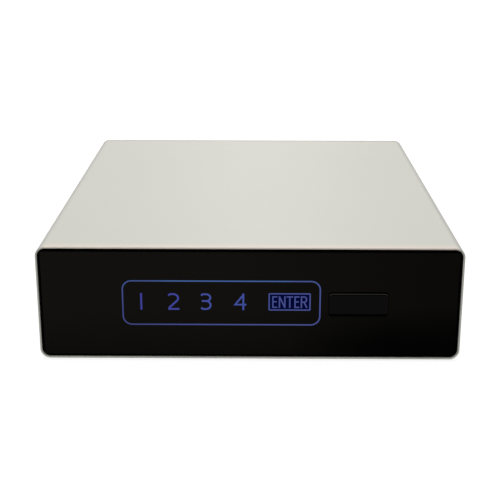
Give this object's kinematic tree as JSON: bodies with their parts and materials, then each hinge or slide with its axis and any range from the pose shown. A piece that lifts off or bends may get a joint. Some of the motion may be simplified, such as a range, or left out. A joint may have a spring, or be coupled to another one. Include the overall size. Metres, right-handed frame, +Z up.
{
  "type": "drawer safe",
  "caption": "Low electronic safe: a rolled steel sleeve with a flush gloss black touch front on a sliding steel drawer, with motor bolts and a key override behind a small badge plate.",
  "frame": {"origin": "on the surface the feet stand on, under the middle of the whole object", "axes": "+X to the right seen from the front, +Y towards the back, +Z up"},
  "size_m": [0.43, 0.42, 0.1243],
  "materials": {
    "sleeve_paint": "warm pale grey powder coat, fine texture, satin",
    "gloss_black": "polished black acrylic",
    "badge_black": "satin black, bevelled edge",
    "black_plastic": "fine moulded texture",
    "drawer_paint": "dark grey powder coat",
    "zinc_steel": "bright zinc plated",
    "brass": "machined",
    "rubber": "matt",
    "felt": "charcoal felt over thin foam",
    "light_guide": "blue back-lit acrylic",
    "circuit_board": "green solder mask",
    "cell": "plain printed sleeve",
    "wire": "satin insulation"
  },
  "bodies": {
    "housing": {"outer_casing": "sleeve_paint", "back_plate": "sleeve_paint", "back_plate_screw_1": "zinc_steel", "back_plate_screw_2": "zinc_steel", "back_plate_screw_3": "zinc_steel", "back_plate_screw_4": "zinc_steel", "foot_1": "rubber", "foot_2": "rubber", "foot_3": "rubber", "foot_4": "rubber", "rear_bumper": "rubber", "outer_rail_left": "zinc_steel", "outer_rail_right": "zinc_steel", "strike_left": "zinc_steel", "strike_right": "zinc_steel"},
    "middle_rails": {"middle_rail_left": "zinc_steel", "middle_rail_right": "zinc_steel"},
    "drawer": {"inner_rail_left": "zinc_steel", "inner_rail_right": "zinc_steel", "drawer_tray": "drawer_paint", "tray_rear_wall": "drawer_paint", "drawer_liner": "felt", "front_panel": "gloss_black", "front_bezel": "black_plastic", "light_guide": "light_guide", "keypad_board": "circuit_board", "bezel_screw_1": "zinc_steel", "bezel_screw_2": "zinc_steel", "bezel_screw_3": "zinc_steel", "bezel_screw_4": "zinc_steel", "lock_channel": "zinc_steel", "lock_channel_screw_1": "zinc_steel", "lock_channel_screw_2": "zinc_steel", "lock_gearbox": "black_plastic", "lock_motor": "zinc_steel", "key_barrel": "zinc_steel", "key_barrel_nut": "brass", "module_cover": "black_plastic", "cover_post_1": "brass", "cover_post_2": "brass", "cover_screw_1": "zinc_steel", "cover_screw_2": "zinc_steel", "battery_holder": "black_plastic", "battery_1": "cell", "battery_2": "cell", "battery_3": "cell", "battery_4": "cell", "control_board": "circuit_board", "code_switch": "black_plastic", "keypad_ribbon": "wire", "battery_lead": "wire", "motor_lead": "wire"},
    "bolt_left": {"lock_bolt_left": "zinc_steel"},
    "bolt_right": {"lock_bolt_right": "zinc_steel"},
    "bolt_drive": {"bolt_pinion": "brass"},
    "key_plug": {"key_plug": "brass", "key_cam": "zinc_steel"},
    "badge_cover": {"badge_cover": "badge_black"},
    "battery_door": {"battery_door": "black_plastic"},
    "code_button": {"code_button": "black_plastic"}
  },
  "joints": [
    {"name": "drawer_slide", "type": "slide", "parent": "housing", "child": "drawer", "axis": [0, -1, 0], "range_m": [0, 0.27]},
    {"name": "middle_rail_slide", "type": "slide", "parent": "housing", "child": "middle_rails", "axis": [0, -1, 0], "range_m": [0, 0.135]},
    {"name": "left_bolt_slide", "type": "slide", "parent": "drawer", "child": "bolt_left", "axis": [-1, 0, 0], "range_m": [0, 0.011]},
    {"name": "right_bolt_slide", "type": "slide", "parent": "drawer", "child": "bolt_right", "axis": [1, 0, 0], "range_m": [0, 0.011]},
    {"name": "bolt_pinion_turn", "type": "hinge", "parent": "drawer", "child": "bolt_drive", "pos_m": [0, -0.1916, 0.0333], "axis": [0, -1, 0], "range_deg": [0, 98.5]},
    {"name": "key_turn", "type": "hinge", "parent": "drawer", "child": "key_plug", "pos_m": [0.11, -0.2, 0.0633], "axis": [0, 1, 0], "range_deg": [0, 90]},
    {"name": "badge_pull", "type": "slide", "parent": "drawer", "child": "badge_cover", "axis": [0, -1, 0], "range_m": [0, 0.02]},
    {"name": "battery_door_hinge", "type": "hinge", "parent": "drawer", "child": "battery_door", "pos_m": [-0.115, -0.1513, 0.0578], "axis": [-1, 0, 0], "range_deg": [0, 85]},
    {"name": "code_button_press", "type": "slide", "parent": "drawer", "child": "code_button", "axis": [0, -1, 0], "range_m": [0, 0.0015], "stiffness_N_per_m": 300}
  ],
  "couplings": [
    {"joint": "middle_rail_slide", "follows": "drawer_slide", "ratio": 0.5},
    {"joint": "right_bolt_slide", "follows": "left_bolt_slide", "ratio": 1},
    {"joint": "bolt_pinion_turn", "follows": "left_bolt_slide", "rad_per_m": 156.25}
  ]
}
